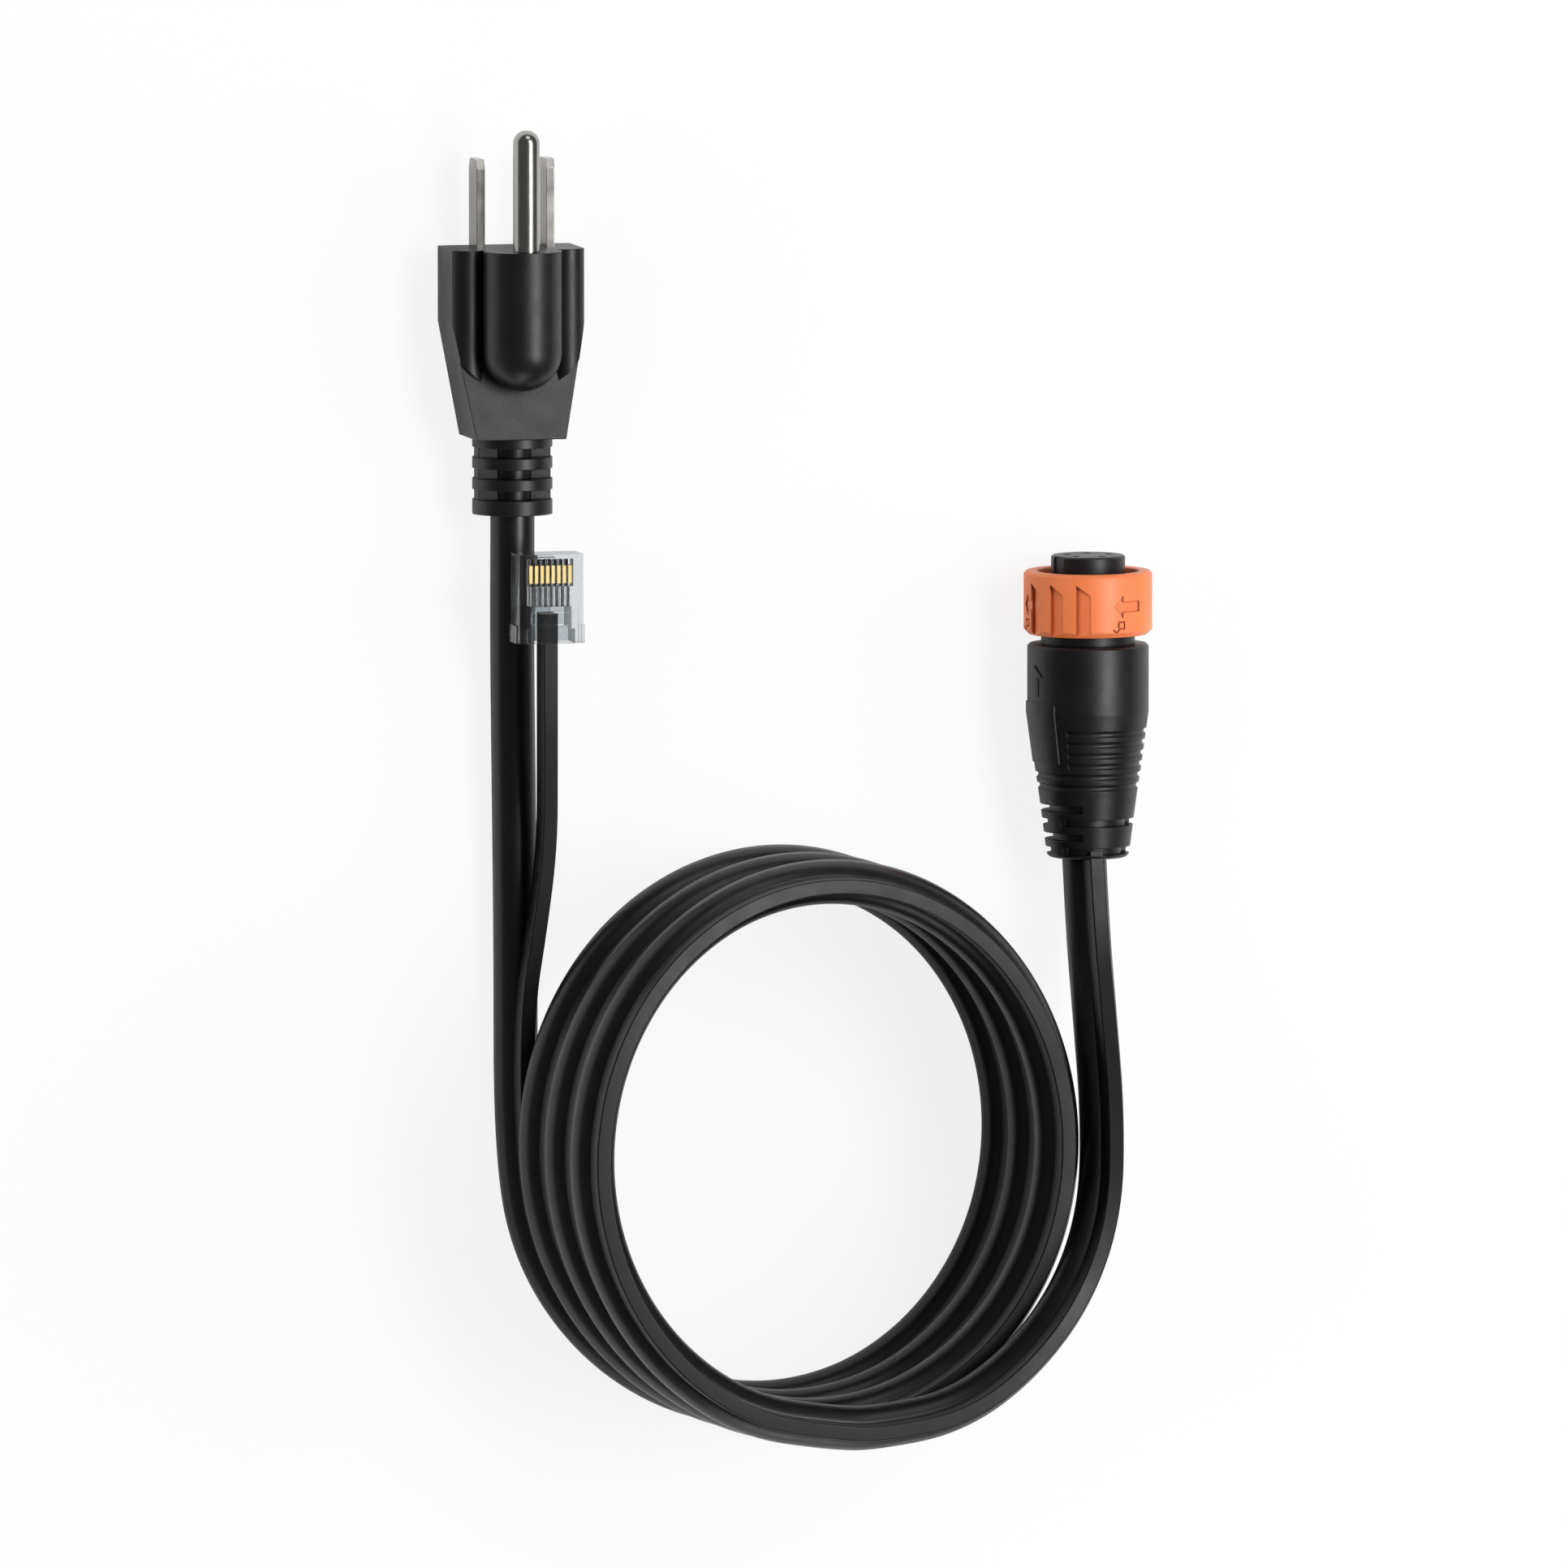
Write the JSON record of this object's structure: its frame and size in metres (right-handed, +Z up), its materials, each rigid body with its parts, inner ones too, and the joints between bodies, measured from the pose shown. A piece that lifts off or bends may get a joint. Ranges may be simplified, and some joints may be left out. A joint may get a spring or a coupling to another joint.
{
  "type": "branched power and data lead",
  "caption": "Coiled black lead that joins a flat-blade mains plug and a clear modular data plug to one round connector with an orange locking ring.",
  "frame": {"origin": "on the floor, under the middle of the box round the mains plug, data plug and round connector", "axes": "+Z up from the floor, +Y the way the plug blades and the round connector point, +X from the plug to the connector"},
  "size_m": [0.128, 0.2342, 0.0571],
  "materials": {
    "black_moulding": "satin flexible PVC",
    "nickel_plate": "nickel plated brass",
    "bridge_plastic": "natural",
    "black_core": "satin",
    "white_core": "satin",
    "green_core": "satin",
    "clear_plastic": "clear polycarbonate",
    "gold_contact": "gold flashed",
    "data_core": "satin",
    "black_hard_plastic": "satin",
    "orange_plastic": "satin",
    "seal_rubber": "matt",
    "cord_jacket": "satin flexible PVC",
    "lead_jacket": "satin flexible PVC"
  },
  "bodies": {
    "base": {"plug_body": "black_moulding", "plug_strain_relief": "black_moulding", "line_blade": "nickel_plate", "neutral_blade": "nickel_plate", "ground_pin": "nickel_plate", "blade_bridge": "bridge_plastic", "line_core": "black_core", "neutral_core": "white_core", "ground_core": "green_core", "data_plug_housing": "clear_plastic", "data_plug_strain_bar": "clear_plastic", "data_plug_contacts": "gold_contact", "data_plug_wires": "data_core", "connector_boot": "black_moulding", "connector_shell": "black_hard_plastic", "face_seal": "seal_rubber", "socket_insert": "black_hard_plastic", "socket_contacts": "gold_contact", "power_cord_plug_run": "cord_jacket", "power_cord_coil": "cord_jacket", "power_cord_connector_run": "cord_jacket", "data_lead_plug_run": "lead_jacket", "data_lead_coil": "lead_jacket", "data_lead_connector_run": "lead_jacket"},
    "ring": {"locking_ring": "orange_plastic"},
    "latch": {"data_plug_latch": "clear_plastic"}
  },
  "joints": [
    {"name": "ring_turn", "type": "hinge", "parent": "base", "child": "ring", "pos_m": [0.0525, -0.0205, 0.0115], "axis": [0, -1, 0], "range_deg": [0, 45]},
    {"name": "latch_press", "type": "hinge", "parent": "base", "child": "latch", "pos_m": [-0.0475, -0.0106, 0.01179], "axis": [-1, 0, 0], "range_deg": [0, 9], "stiffness_Nm_per_rad": 0.08}
  ]
}
